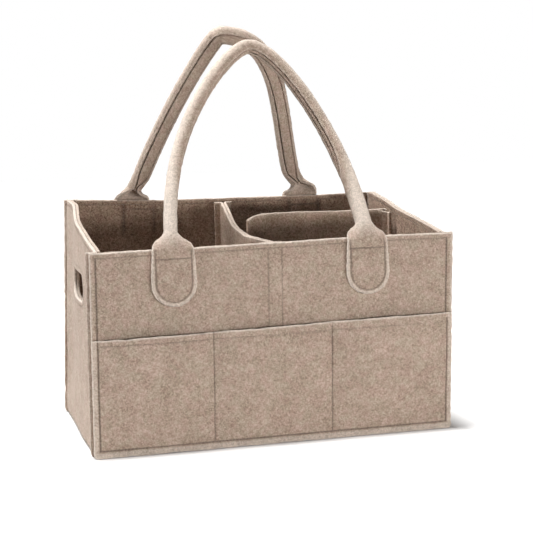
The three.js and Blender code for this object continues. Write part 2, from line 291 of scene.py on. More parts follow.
def sheet(uv, quads, place, seams=(), pinch=(1, 1), swell=SWELL, rough=GRAIN, half=FELT / 2,
          rim_share=top_light_rim, pale_marks=None):
    """A felt sheet as points, quads and two values a point: cut edge and seam."""
    uv = uv.reshape(-1, 2)
    used = np.unique(quads)
    renumber = np.full(len(uv), -1)
    renumber[used] = np.arange(len(used))
    uv, quads = uv[used], renumber[quads]
    middle, normal = place_with_normal(place, uv)
    middle = middle + normal * (swell * waves(middle, SWELL_LENGTH, SWELL_SEED))[:, None]
    near = np.zeros(len(uv))
    for line, strength in seams:
        away = distance_to(np.asarray(line, float), uv)
        near = np.maximum(near, strength * np.exp(-(away / SEAM_HALF_WIDTH) ** 2))
    count = len(uv)
    following, previous = np.full((2, count), -1)
    starts = quads.ravel()
    ends = np.roll(quads, -1, axis=1).ravel()
    open_edge = ~np.isin(starts * count + ends, ends * count + starts)
    following[starts[open_edge]] = ends[open_edge]
    previous[ends[open_edge]] = starts[open_edge]
    border = np.nonzero(following >= 0)[0]
    along = middle[following[border]] - middle[previous[border]]
    outward = unit(np.cross(along, normal[border]))
    ragged = sum(size * waves(middle[border], length, seed) for size, length, seed in RAGGED_WAVES)
    edge = middle[border] + outward * ragged[:, None]
    levels = []
    for side, depth in ((1, pinch[0]), (-1, pinch[1])):
        texture = rough * waves(middle + side * GRAIN_SIDE_SHIFT, GRAIN_LENGTH, GRAIN_SEED + side)
        lift = normal * (side * (half + texture - SEAM_DEPTH * depth * near))[:, None]
        points = middle + lift
        points[border] = edge + lift[border] - outward * RIM_INSET
        levels.append(points)
    for inset_share, height_share in EDGE_PROFILE_SHARES:
        levels.append(edge - outward * (inset_share * RIM_INSET) + normal[border] * (height_share * half))
    number = np.full(count, -1)
    number[border] = np.arange(len(border))
    after = number[following[border]]
    edge_rings = 2 * count + np.arange(len(EDGE_PROFILE_SHARES) * len(border)).reshape(-1, len(border))
    rings = [border, *edge_rings, count + border]
    faces = [quads, count + quads[:, ::-1]]
    for upper, lower in zip(rings, rings[1:]):
        faces.append(np.stack([upper[after], upper, lower, lower[after]], -1))
    beside = np.unique(quads[np.isin(quads, border).any(axis=1)])
    edge_values = np.tile(rim_share(uv[border], outward), len(EDGE_PROFILE_SHARES))
    rim = np.zeros(2 * count)
    rim[beside] = rim[count + beside] = RIM_BESIDE_SHARE
    rim[border] = rim[count + border] = RIM_FACE_SHARE * edge_values[:len(border)]
    # Extra paleness: frayed margins, and on the handles a painted highlight
    if pale_marks is not None:
        rim = np.maximum(rim, np.tile(pale_marks(uv), 2))
    seam = np.concatenate([near * (pinch[0] > 0), near * (pinch[1] > 0), 0 * edge_values])
    return np.vstack(levels), np.vstack(faces), np.concatenate([rim, edge_values]), seam


def plain(points, faces):
    """A part with neither cut edges nor seams."""
    return points, faces, np.zeros(len(points)), np.zeros(len(points))


def merged(parts):
    """Several sheets as one."""
    points, faces, rims, seams = zip(*parts)
    starts = np.cumsum([0] + [len(each) for each in points])
    faces = [each + start for each, start in zip(faces, starts)]
    return np.vstack(points), np.vstack(faces), np.concatenate(rims), np.concatenate(seams)


def linked(name, data):
    obj = bpy.data.objects.new(name, data)
    bpy.context.scene.collection.objects.link(obj)
    return obj


def add_object(name, part, material, settle=settled):
    """A mesh object from points in millimetres and quads."""
    points, faces, rim, seam = part
    mesh = bpy.data.meshes.new(name)
    mesh.vertices.add(len(points))
    mesh.vertices.foreach_set("co", (settle(points) * MM).astype(np.float32).ravel())
    mesh.loops.add(faces.size)
    mesh.loops.foreach_set("vertex_index", faces.astype(np.int32).ravel())
    mesh.polygons.add(len(faces))
    mesh.polygons.foreach_set("loop_start", np.arange(0, faces.size, 4, dtype=np.int32))
    mesh.polygons.foreach_set("use_smooth", np.ones(len(faces), bool))
    mesh.update(calc_edges=True)
    mesh.validate()
    for key, values in (("rim", rim), ("seam", seam)):
        attribute = mesh.attributes.new(key, "FLOAT", "POINT")
        attribute.data.foreach_set("value", values.astype(np.float32))
    mesh.materials.append(material)
    obj = linked(name, mesh)
    return obj


# Stitches: short threads laid end to end in a seam

STITCH_PITCH = 3.1
STITCH_LENGTH = 2.2
STITCH_RADIUS = 0.32
STITCH_SINK_SHARE = 0.8
THREAD_SIDES = 6
THREAD_RINGS = ((-1, 0.3, -0.35), (-0.6, 0.9, 0.05), (0, 1.0, 0.2), (0.6, 0.9, 0.05), (1, 0.3, -0.35))
threads = {}


def sew(body, seams, place, side, settle=settled):
    """Lays stitches along the seams of a sheet, on one of its faces."""
    for seam_line, strength in seams:
        line = np.array(seam_line, float)
        total = lengths_along(line)[-1]
        count = max(2, round(total / STITCH_PITCH))
        centres = (np.arange(count) + 0.5) / count
        reach = STITCH_LENGTH / 2 / total
        uv, ahead, behind = (walk(line, centres + shift) for shift in (0, reach, -reach))
        middle, normal = place_with_normal(place, uv)
        middle = middle + normal * (SWELL * waves(middle, SWELL_LENGTH, SWELL_SEED))[:, None]
        normal = side * normal
        along = unit(place(ahead) - place(behind))
        across = np.cross(normal, along)
        base = middle + normal * (FELT / 2 - SEAM_DEPTH * strength * STITCH_SINK_SHARE)
        rings = []
        for along_share, radius_share, lift_share in THREAD_RINGS:
            for step in range(THREAD_SIDES):
                angle = 2 * math.pi * step / THREAD_SIDES
                out = (math.cos(angle) * radius_share + lift_share) * STITCH_RADIUS
                wide = math.sin(angle) * radius_share * STITCH_RADIUS
                forward = along_share * STITCH_LENGTH / 2
                rings.append(base + along * forward + normal * out + across * wide)
        points = settle(np.stack(rings, 1).reshape(-1, 3))
        per_stitch = len(THREAD_RINGS) * THREAD_SIDES
        table = np.arange(per_stitch).reshape(len(THREAD_RINGS), THREAD_SIDES)
        tube = cells(np.hstack([table, table[:, :1]]))
        last = per_stitch - THREAD_SIDES
        caps = [[0, 1, 2, 3], [0, 3, 4, 5]]
        caps += [[last + k for k in cap[::-1]] for cap in caps]
        faces = np.vstack([tube, caps])[None] + (np.arange(count) * per_stitch)[:, None, None]
        threads.setdefault(body, []).append(plain(points, faces.reshape(-1, 4)))


# Materials

TONE_STOPS = (0.488, 0.535, 0.582)
FUZZ_AND_LIGHT_SHARES = (0.72, 1.0, 1.2)
# How dark the painted shade in a seam groove is, as a share of the darkest felt tone
SEAM_SHADE_SHARE = 0.4


def nodes_of(owner):
    owner.use_nodes = True
    owner.node_tree.nodes.clear()
    return owner.node_tree


def add_node(tree, kind, inputs=None, **settings):
    node = tree.nodes.new(kind)
    for key, value in settings.items():
        setattr(node, key, value)
    for key, value in (inputs or {}).items():
        if isinstance(value, bpy.types.NodeSocket):
            tree.links.new(value, node.inputs[key])
        else:
            node.inputs[key].default_value = value
    return node


def new_material(name):
    """A material, its nodes, and the place in the object that its textures follow."""
    material = bpy.data.materials.new(name)
    tree = nodes_of(material)
    return material, tree, add_node(tree, "ShaderNodeTexCoord").outputs["Object"]


def mix_colour(tree, share, a, b, mode="MIX"):
    inputs = {0: share, 6: a, 7: b}
    return add_node(tree, "ShaderNodeMix", inputs, data_type="RGBA", blend_type=mode).outputs[2]


def sums(tree, operation, a, b):
    return add_node(tree, "ShaderNodeMath", {0: a, 1: b}, operation=operation).outputs[0]


def weighted(tree, *terms):
    total = sums(tree, "MULTIPLY", *terms[0])
    for value, weight in terms[1:]:
        total = sums(tree, "ADD", total, sums(tree, "MULTIPLY", value, weight))
    return total


def ramp(tree, value, stops):
    node = add_node(tree, "ShaderNodeValToRGB", {"Fac": value})
    elements = node.color_ramp.elements
    while len(elements) < len(stops):
        elements.new(0.5)
    for element, (position, colour) in zip(elements, stops):
        element.position = position
        element.color = (*colour, 1)
    return node.outputs["Color"]


def noise(tree, place, scale, detail, roughness=0.5, distortion=0.0):
    return add_node(tree, "ShaderNodeTexNoise", {
        "Vector": place, "Scale": scale, "Detail": detail, "Roughness": roughness, "Distortion": distortion,
    }).outputs["Fac"]


def principled(tree, inputs):
    shader = add_node(tree, "ShaderNodeBsdfPrincipled", inputs)
    add_node(tree, "ShaderNodeOutputMaterial", {"Surface": shader.outputs["BSDF"]})


def felt_material(name, sheen, edge, tones):
    """Pressed felt: matted fibres of several tones, paler at its cut edges, with painted light on edges that
    face up, and painted shade in its seams.
    """
    material, tree, place = new_material(name)
    clouds = noise(tree, place, 75, 2)
    mottle = noise(tree, place, 540, 3, 0.6, 0.9)
    strokes = noise(tree, place, 1050, 3, 0.65, 3.0)
    fibres = noise(tree, place, 2100, 3, 0.7, 2.0)
    tone = weighted(tree, (mottle, 0.28), (strokes, 0.47), (fibres, 0.25), (clouds, 0.07))
    colour = ramp(tree, tone, tuple(zip(TONE_STOPS, tones)))
    elsewhere = add_node(tree, "ShaderNodeMapping", {"Vector": place, "Location": (3, 5, 7)}).outputs[0]
    warm = noise(tree, elsewhere, 130, 2, 0.5, 0.5)
    tint = ramp(tree, warm, ((0.35, (0.97, 1.0, 0.96)), (0.65, (1.04, 0.985, 0.99))))
    colour = mix_colour(tree, 1.0, colour, tint, "MULTIPLY")
    rim, seam = (add_node(tree, "ShaderNodeAttribute", attribute_name=key).outputs["Fac"]
                 for key in ("rim", "seam"))
    # The rim value mixes pale frayed fibres with painted light: edges lit from above and painted highlight on
    # the handles
    fray_and_light = sums(tree, "MULTIPLY", rim, sums(tree, "ADD", sums(tree, "MULTIPLY", strokes, 0.8), 0.6))
    fuzz_and_light = ramp(tree, tone, tuple(
        (at, tuple(channel * share for channel in edge)) for at, share in zip(TONE_STOPS, FUZZ_AND_LIGHT_SHARES)))
    colour = mix_colour(tree, sums(tree, "MINIMUM", fray_and_light, 1.0), colour, fuzz_and_light)
    # Painted shade in the seam grooves
    shaded = (*(SEAM_SHADE_SHARE * channel for channel in tones[0]), 1)
    colour = mix_colour(tree, sums(tree, "MULTIPLY", seam, 0.9), colour, shaded)
    height = weighted(tree, (mottle, 0.5), (strokes, 0.5), (fibres, 0.25))
    bump = add_node(tree, "ShaderNodeBump", {"Strength": 0.55, "Distance": 0.0007, "Height": height})
    principled(tree, {
        "Base Color": colour, "Roughness": 0.95, "Specular IOR Level": 0.2,
        "Sheen Weight": sheen, "Sheen Roughness": 0.45, "Sheen Tint": (1.0, 0.95, 0.9, 1),
        "Normal": bump.outputs["Normal"],
    })
    return material


def thread_material():
    material, tree, place = new_material("sewing_thread")
    twist = noise(tree, place, 2500, 2)
    colour = ramp(tree, twist, ((0.3, (0.16, 0.115, 0.085)), (0.7, (0.34, 0.26, 0.2))))
    principled(tree, {"Base Color": colour, "Roughness": 0.7, "Sheen Weight": 0.2})
    return material


def pile_material(name, dark, light, scale):
    """Hook or loop tape: rows of small raised points."""
    material, tree, place = new_material(name)
    dots = add_node(tree, "ShaderNodeTexVoronoi", {"Vector": place, "Scale": scale, "Randomness": 0.35})
    dots = dots.outputs["Distance"]
    tone = weighted(tree, (dots, 0.8), (noise(tree, place, 500, 4), 0.4))
    colour = ramp(tree, tone, ((0.3, light), (0.75, dark)))
    relief = {"Strength": 0.8, "Distance": 0.0006, "Height": dots}
    normal = add_node(tree, "ShaderNodeBump", relief, invert=True).outputs["Normal"]
    principled(tree, {"Base Color": colour, "Roughness": 0.85, "Sheen Weight": 0.15, "Normal": normal})
    return material


felt = felt_material("felt", 0.15, (0.66, 0.575, 0.5), (
    (0.225, 0.162, 0.123), (0.36, 0.275, 0.219), (0.52, 0.42, 0.35)))
# The lining is the same felt as the outside; its darker, browner tones are painted shade inside the caddy
shaded_lining_felt = felt_material("shaded_lining_felt", 0.03, (0.56, 0.465, 0.39), (
    (0.125, 0.077, 0.053), (0.275, 0.186, 0.134), (0.5, 0.375, 0.29)))
# The dividers are the same felt as the outside, painted warmer for light bounced between the brown felt
# inside the caddy, with a deeper dark tone for its shade
bounce_tinted_divider_felt = felt_material("bounce_tinted_divider_felt", 0.03, (0.62, 0.52, 0.44), (
    (0.195, 0.13, 0.092), (0.375, 0.268, 0.2), (0.58, 0.445, 0.355)))
thread = thread_material()
loop_pile = pile_material("loop_pile", (0.16, 0.115, 0.085), (0.34, 0.26, 0.2), 900)
hook_pile = pile_material("hook_pile", (0.13, 0.095, 0.07), (0.3, 0.23, 0.18), 700)


def dress(name, part, material, body, node, settle=settled):
    """Adds a piece that stands for one node and rides its body."""
    obj = add_object(name, part, material, settle)
    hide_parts(node)
    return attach(obj, body)


# Front and back panels and their linings

TAPE_SEAM_X = 6.2
TAPE_SEAM_FOOT_Z = 24.0
TAB_DROP = 51.0
TAB_SEAM_INSET = 4.2
TAB_SEAM_TOP = 4.0
TAB_BAR_DROP = 9.2
LINING_SEAM_INSET = 2.0


def round_low_corners(points, half_x, bottom, radius):
    """Lifts the foot of a grid where its lower corners are round."""
    inside = np.clip(np.abs(points[..., 0]) - (half_x - radius), 0, radius)
    lift = radius - np.sqrt(np.maximum(radius ** 2 - inside ** 2, 0))
    points[..., 1] += lift * np.clip(1 - (points[..., 1] - bottom) / CORNER_SQUEEZE, 0, 1)


def panel_seams(end_x, top, facing):
    seams = [([(x, FOOT_SEAM_Z), (x, top)], STRONG_SEAM) for x in (-SIDE_SEAM_X, SIDE_SEAM_X)]
    seams += [([(x, TAPE_SEAM_FOOT_Z), (x, top)], FAINT_SEAM) for x in (-TAPE_SEAM_X, TAPE_SEAM_X)]
    seams.append(([(-SIDE_SEAM_X, top), (SIDE_SEAM_X, top)], FAINT_SEAM))
    if facing > 0:
        seams.append(([(-SIDE_SEAM_X, FOOT_SEAM_Z), (SIDE_SEAM_X, FOOT_SEAM_Z)], STRONG_SEAM))
    return seams


def tab_lines(middle, foot, top, bar):
    """The stitching of a handle tab: round its edge, and a bar across it."""
    inner = TAB_WIDTH / 2 - TAB_SEAM_INSET
    around = np.linspace(math.pi, 2 * math.pi, 40)
    arc = np.stack([middle + inner * np.cos(around), foot + TAB_WIDTH / 2 + inner * np.sin(around)], -1)
    left, right = middle - inner, middle + inner
    return np.vstack([[(left, top)], arc, [(right, top)]]), np.array([(left, bar), (right, bar)])


def lining_seams(end_x, top, facing):
    """The top seam, and at the back the stitching of the handle tabs, which comes through."""
    seams = [([(-end_x + LINING_SEAM_INSET, top), (end_x - LINING_SEAM_INSET, top)], FAINT_SEAM)]
    height = top + EDGE_SEAM_DROP
    if facing < 0:
        for x in (-TAB_SPACING / 2, TAB_SPACING / 2):
            marks = tab_lines(x, height - TAB_DROP, height - TAB_SEAM_TOP, height - TAB_BAR_DROP)
            seams += [(line, CLEAR_SEAM) for line in marks]
    return seams


def add_panel(node, facing, material, seams_of, radius, rim_share):
    """A flat sheet across the length. Its first face looks along +Y or -Y."""
    low, high = box_mm(node)
    half_x, bottom, height = high[0], low[2], high[2]
    seams = seams_of(half_x, height - EDGE_SEAM_DROP, facing)
    seam_x, seam_z = (
        sorted({line[0][axis] for line, _ in seams if line[0][axis] == line[-1][axis]}) for axis in (0, 1))
    points, quads = grid(lines(-half_x, half_x, seams=seam_x), lines(bottom, height, seams=seam_z))
    round_low_corners(points, half_x, bottom, radius)

    def place(uv):
        return np.stack([-facing * uv[:, 0], np.full(len(uv), (low[1] + high[1]) / 2), uv[:, 1]], -1)

    part = sheet(points, quads, place, seams, pinch=(1, 0), rim_share=rim_share)
    sew("caddy", seams, place, 1)
    dress(f"{node}_felt", part, material, "caddy", node)


for node, facing in (("front_panel", -1), ("back_panel", 1)):
    add_panel(node, facing, felt, panel_seams, PANEL_CORNER, even_rim)
for node, facing in (("front_lining", 1), ("back_lining", -1)):
    add_panel(node, facing, shaded_lining_felt, lining_seams, CORNER_BEND - FELT, top_light_rim)


# Side walls and floor: a strip bent into a U, with a slot for a hand in each wall

STRIP_BEND = 3.4
WALL_STEP = 3.4
FLOOR_STEP = 9.0
WALL_BOWS = (5.0, 1.6)
BOW_POWER = 1.3
BOW_REACH = (-40.0, 110.0)
BACK_FLARE = 5.0
FLARE_START_SHARE = 0.8
FOOT_FLARE_SHARE = 0.9
FOOT_FLARE_HEIGHT = 70.0
FLARE_FLOOR_REACH = 20.0
SLOT_WINDOW = (11.0, 12.0)
SLOT_SEAM_ROOM = 9.0
SLOT_RING_SHARES = (0.25, 0.5, 0.68, 0.76, 0.84, 0.93, 1.0)
FLANGE_OVERLAP = 1.5
FLANGE_REACH = 0.8
FLANGE_LAG_SHARE = 0.8
FLANGE_STEPS = (2.0, 5.0)
LEAST_SQUARE = 0.2
SPLAY = 1.3
SPLAY_REACH = 6.5
SPLAY_LIMIT_SHARE = 1.3
SPLAY_RISE = 120.0


def bent_strip(outer_x, bottom, bend):
    """Place on a U: u runs from the left wall over the floor to the right wall, v is the depth."""
    floor_z = bottom + FELT / 2
    radius = bend - FELT / 2
    flat_end = outer_x - FELT / 2 - radius
    bend_end = flat_end + radius * math.pi / 2

    def place(uv):
        u = np.abs(uv[:, 0])
        side = np.where(uv[:, 0] < 0, -1, 1)
        angle = np.clip((u - flat_end) / radius, 0, math.pi / 2)
        x = np.minimum(u, flat_end) + radius * np.sin(angle)
        z = floor_z + radius * (1 - np.cos(angle)) + np.maximum(u - bend_end, 0)
        share = np.clip((uv[:, 1] - STRIP_FRONT_Y) / (STRIP_BACK_Y - STRIP_FRONT_Y), 0, 1)
        bow = np.where(side < 0, *WALL_BOWS) * np.sin(math.pi * share) ** BOW_POWER
        x = x + bow * smooth(z, *BOW_REACH) * (u > flat_end)
        at_foot = FOOT_FLARE_SHARE * smooth(z, FOOT_FLARE_HEIGHT, 0)
        flare = BACK_FLARE * np.maximum(smooth(share, FLARE_START_SHARE), at_foot)
        x = x + flare * smooth(u, flat_end - FLARE_FLOOR_REACH, flat_end)
        return np.stack([side * x, uv[:, 1], z], -1)

    return place, flat_end, bend_end, floor_z + radius


def stadium(length, height, count):
    """Points round a slot with round ends, long in v, from the middle of its far end."""
    radius = height / 2
    straight = (length - height) / 2
    around = np.linspace(0, 2 * math.pi, 721)[:-1]
    v = radius * np.cos(around) + np.where(np.cos(around) > 0, straight, -straight)
    return walk(closed(np.stack([radius * np.sin(around), v], -1)), np.arange(count) / count)


def from_level(ring, middle):
    """How far to roll a ring of points so that it starts level with its middle."""
    return -np.argmin(np.abs(np.arctan2(ring[:, 1] - middle[1], ring[:, 0] - middle[0])))


def cut_slot(points, quads, index, columns, rows, middle):
    """Takes a window of cells out of a sheet and fits the rest round a slot."""
    c0, c1 = columns
    r0, r1 = rows
    inside = np.isin(quads, index[c0:c1 + 1, r0:r1 + 1]).all(axis=1)
    ring = np.concatenate([index[c0:c1, r0], index[c1, r0:r1], index[c1:c0:-1, r1], index[c0, r1:r0:-1]])
    ring = np.roll(ring, from_level(points[ring], middle))
    border = points[ring]
    lengths = lengths_along(closed(border))
    outline = stadium(SLOT_LENGTH, SLOT_HEIGHT, 1440)[::-1]
    outline = np.roll(outline, from_level(outline, (0, 0)), axis=0)
    slot = walk(closed(outline + middle), lengths[:-1] / lengths[-1])
    added = [points]
    faces = [quads[~inside]]
    count = len(points)
    for share in SLOT_RING_SHARES:
        added.append(border * (1 - share) + slot * share)
        inner = count + np.arange(len(ring))
        faces.append(np.stack([ring, np.roll(ring, -1), np.roll(inner, -1), inner], -1))
        ring = inner
        count += len(ring)
    return np.vstack(added), np.vstack(faces)


def strip_sheet(outer_x, bottom, bend, near_y, far_y, pinch, stitch_side):
    place, flat_end, bend_end, wall_start = bent_strip(outer_x, bottom, bend)
    slot_y = FRONT_FACE_Y + BOX_DEPTH * SLOT_DEPTH_SHARE
    slot_u = bend_end + SLOT_MIDDLE_Z - wall_start
    wall_length = wall_top(slot_y) - wall_start
    shares = lines(0, wall_length, WALL_STEP, seams=(wall_length - EDGE_SEAM_DROP,))[1:] / wall_length
    rows = lines(near_y, far_y, WALL_STEP)
    top_u = bend_end + wall_top(rows) - wall_start
    walls = bend_end + shares[:, None] * (top_u - bend_end)
    bends = np.linspace(flat_end, bend_end, 7)[1:]
    flat = np.concatenate([-bends[::-1], lines(-flat_end, flat_end, FLOOR_STEP)[1:-1], bends])
    u = np.vstack([-walls[::-1], np.tile(flat[:, None], len(rows)), walls])
    points = np.stack([u, np.broadcast_to(rows, u.shape)], -1).reshape(-1, 2)
    index = np.arange(u.size).reshape(u.shape)
    quads = cells(index)
    room_u, room_v = SLOT_HEIGHT / 2 + SLOT_WINDOW[0], SLOT_LENGTH / 2 + SLOT_WINDOW[1]
    row_span = [np.argmin(np.abs(rows - slot_y - way * room_v)) for way in (-1, 1)]
    middle_row = np.argmin(np.abs(rows - slot_y))
    seams = [(np.stack([sign * (top_u - EDGE_SEAM_DROP), rows], -1), FAINT_SEAM) for sign in (-1, 1)]
    for sign in (-1, 1):
        line = u[:, middle_row] * sign
        span = sorted(np.argmin(np.abs(line - slot_u - way * room_u)) for way in (-1, 1))
        middle = np.array([sign * slot_u, slot_y])
        points, quads = cut_slot(points, quads, index, span, row_span, middle)
        ring = stadium(SLOT_LENGTH + SLOT_SEAM_ROOM, SLOT_HEIGHT + SLOT_SEAM_ROOM, 120) + middle
        seams.append((closed(ring), FAINT_SEAM))
    sew("caddy", seams, place, stitch_side)
    return sheet(points, quads, place, seams, pinch=pinch)


def flange(side, near_y, way):
    """The seam margin of a side wall, turned out behind the end of a panel."""
    near_x = WALL_OUTER_X - FLANGE_OVERLAP
    columns = lines(near_x, LENGTH / 2 + FLANGE_REACH, FLANGE_STEPS[0])
    points, quads = grid(columns, lines(0, wall_top(near_y), FLANGE_STEPS[1]))
    below = np.clip(PANEL_CORNER - points[..., 1], 0, PANEL_CORNER)
    limit = LENGTH / 2 - PANEL_CORNER + np.sqrt(np.maximum(PANEL_CORNER ** 2 - below ** 2, LEAST_SQUARE))
    start = near_x - (LENGTH / 2 - limit) * FLANGE_LAG_SHARE
    share = (points[..., 0] - columns[0]) / (columns[-1] - columns[0])
    points[..., 0] = start + share * (limit + FLANGE_REACH - start)

    def place(uv):
        splay = np.clip((uv[:, 0] - WALL_OUTER_X) / SPLAY_REACH, 0, SPLAY_LIMIT_SHARE) ** 2
        y = near_y + way * (FELT / 2 + SPLAY * splay * smooth(uv[:, 1], 0, SPLAY_RISE))
        return np.stack([side * uv[:, 0], y, uv[:, 1]], -1)

    points, faces, rim, seam = sheet(points, quads, place)
    return points, faces[:, ::-1] if side < 0 else faces, rim, seam


side_strip = [strip_sheet(WALL_OUTER_X, 0, STRIP_BEND, STRIP_FRONT_Y, STRIP_BACK_Y, (0, 1), -1)]
for side in (-1, 1):
    side_strip.append(flange(side, STRIP_FRONT_Y, 1))
    side_strip.append(flange(side, STRIP_BACK_Y, -1))
dress("side_and_base_felt", merged(side_strip), felt, "caddy", "side_and_base_strip")
lining_low, lining_high = box_mm("side_and_base_lining")
lining = strip_sheet(
    LINING_OUTER_X, lining_low[2], CORNER_BEND - FELT - PLY_GAP, lining_low[1], lining_high[1], (1, 0), 1)
dress("side_and_base_lining_felt", lining, shaded_lining_felt, "caddy", "side_and_base_lining")


# Front pockets: one panel, sewn at its ends, its foot and two upright seams

POCKET_SEAMS = (-57.0, 50.5)
POCKET_SLACK_SHARE = 0.8
SLACK_POWERS = (0.7, 0.8)
POCKET_SEAM_TOP = 1.0
HEM_LIFT = (0.4, 4.0)
HEM_LIFT_FOOT = 20.0
HEM_SEAM_GAP = 1.5
FOOT_FLARE = 2.2
# Margins below the foot seam and beyond the side seams are paler: frayed felt, and painted light from above
# on the turned-out margins
FOOT_FRAY_AND_LIGHT_SHARE = 0.5
SIDE_FRAY_AND_LIGHT_SHARE = 0.4
FRAY_AND_LIGHT_BAND = (0.6, 1.8)


def pocket_panel():
    seams_x = [-SIDE_SEAM_X, *POCKET_SEAMS, SIDE_SEAM_X]
    hem = POCKET_HEIGHT - EDGE_SEAM_DROP
    columns = lines(-PANEL_END_X, PANEL_END_X, FINE_STEP, seams=seams_x)
    points, quads = grid(columns, lines(0, POCKET_HEIGHT, FINE_STEP, seams=(FOOT_SEAM_Z, hem)))
    round_low_corners(points, PANEL_END_X, 0, PANEL_CORNER)
    lift = np.interp(points[..., 0], (-PANEL_END_X, PANEL_END_X), HEM_LIFT)
    points[..., 1] += lift * np.interp(points[..., 1], (HEM_LIFT_FOOT, POCKET_HEIGHT), (0, 1))
    seat_y = FRONT_FACE_Y - PLY_GAP - FELT / 2

    def place(uv):
        x, z = uv[:, 0], uv[:, 1]
        slack = np.zeros(len(uv))
        for start, end in zip(seams_x, seams_x[1:]):
            t = np.clip((x - start) / (end - start), 0, 1)
            slack = np.maximum(slack, np.sin(math.pi * t) ** SLACK_POWERS[0])
        up = np.interp(z, (FOOT_SEAM_Z, POCKET_HEIGHT), (0, 1))
        out = POCKET_SLACK * POCKET_SLACK_SHARE * slack * np.sin(math.pi / 2 * up) ** SLACK_POWERS[1]
        return np.stack([x, seat_y - out - FOOT_FLARE * np.clip(1 - z / FOOT_SEAM_Z, 0, 1), z], -1)

    strengths = (STRONG_SEAM, CLEAR_SEAM, CLEAR_SEAM, STRONG_SEAM)
    top = POCKET_HEIGHT - POCKET_SEAM_TOP
    seams = [([(x, FOOT_SEAM_Z), (x, top)], strength) for x, strength in zip(seams_x, strengths)]
    seams.append(([(-SIDE_SEAM_X, FOOT_SEAM_Z), (SIDE_SEAM_X, FOOT_SEAM_Z)], STRONG_SEAM))
    for start, end in zip(seams_x, seams_x[1:]):
        seams.append(([(start + HEM_SEAM_GAP, hem), (end - HEM_SEAM_GAP, hem)], FAINT_SEAM))
    points, faces, rim, seam = sheet(points, quads, place, seams, pinch=(1, 0), rim_share=even_rim)
    # Paler margins: frayed felt and painted light from above
    rim = np.maximum(rim, FOOT_FRAY_AND_LIGHT_SHARE * smooth(FOOT_SEAM_Z - points[:, 2], *FRAY_AND_LIGHT_BAND))
    rim = np.maximum(rim, SIDE_FRAY_AND_LIGHT_SHARE * smooth(np.abs(points[:, 0]) - SIDE_SEAM_X, *FRAY_AND_LIGHT_BAND))
    sew("caddy", [(walk(line, np.linspace(0, 1, 60)), strength) for line, strength in seams], place, 1)
    return points, faces, rim, seam


dress("front_pocket_felt", pocket_panel(), felt, "caddy", "front_pocket_panel")


# Handles: a felt strip with round tabs, rolled round a soft core

# Lean is in degrees at foot and crown, twist at both ends. Roll is half of the rolled angle, and pinch adds
# to it near the foot. Left and right shape each leg, wide and deep stretch the section
HANDLES = {
    "front": {
        "way": 1, "rise": 187.1, "lean": (26.6, 16.9), "roll": 2.75, "crown": 0.02, "shift": (0.3, 0, 0.8),
        "left": (0.614, 0, 0.18), "right": (0.461, 0, 0.35), "wide": (0.7, 0.9), "deep": 1.04,
        "twist": (104.0, 122.0), "pinch": 0.0,
    },
    "back": {
        "way": -1, "rise": 186.3, "lean": (15.6, 41.8), "roll": 2.4, "crown": -0.13, "shift": (-0.6, 0, -2.4),
        "left": (0.18, 0.108, 0.06), "right": (0.185, 0.317, 0.904), "wide": (1.0, 1.05), "deep": 0.92,
        "twist": (0.0, 0.0), "pinch": 0.5,
    },
}
ROLL_START = -4.0
ROLL_LENGTH = 14.0
ROLL_POWER = 1.35
FLAT_ROLL = 0.04
NARROWING = (-34.0, 12.0)
PINCH_PLACE = 17.0
PINCH_REACH = 9.0
TILT_REACH = 28.0
TWIST_REACH = (20.0, 90.0)
LEAN_REACH = (-4.0, 18.0)
LEAN_RANGE = (-70.0, 30.0)
UPRIGHT_HEIGHT = -6.0
SHOULDER_ROOM = 4.0
SHOULDER_STEP = 1.2
TAB_ROW_STEP = 2.2
TAB_ROW_END = -1.5
TAB_COLUMN_SHARES = (0, 0.12, 0.25, 0.38, 0.5, 0.6, 0.68)
TAB_RIM_SHARES = (0.88, 0.95, 1.0)
TAB_SEAM_SHARES = (-0.045, -0.015, 0.015, 0.045)
HANDLE_GRAIN = 0.16
MARGIN_SHARE = 0.55
MARGIN_BAND = (0.7, 1.5)
# Painted highlight on the outer face of a rolled handle, fading towards its lips
HANDLE_HIGHLIGHT_SHARE = 0.85
HANDLE_HIGHLIGHT_TURN = (2.4, 0.8)
# How much less pale the lips' cut edges are where the strip is rolled: painted shade inside the arch
LIP_SHADE_SHARE = 0.75
LIP_GAP = 0.35
CORE_SIDES = 48
CORE_FOOT = 22.0
CORE_FOOT_STEP = 2.0
CORE_BULGE = 2.9
CORE_BULGE_TURN = (0.04, 0.24)


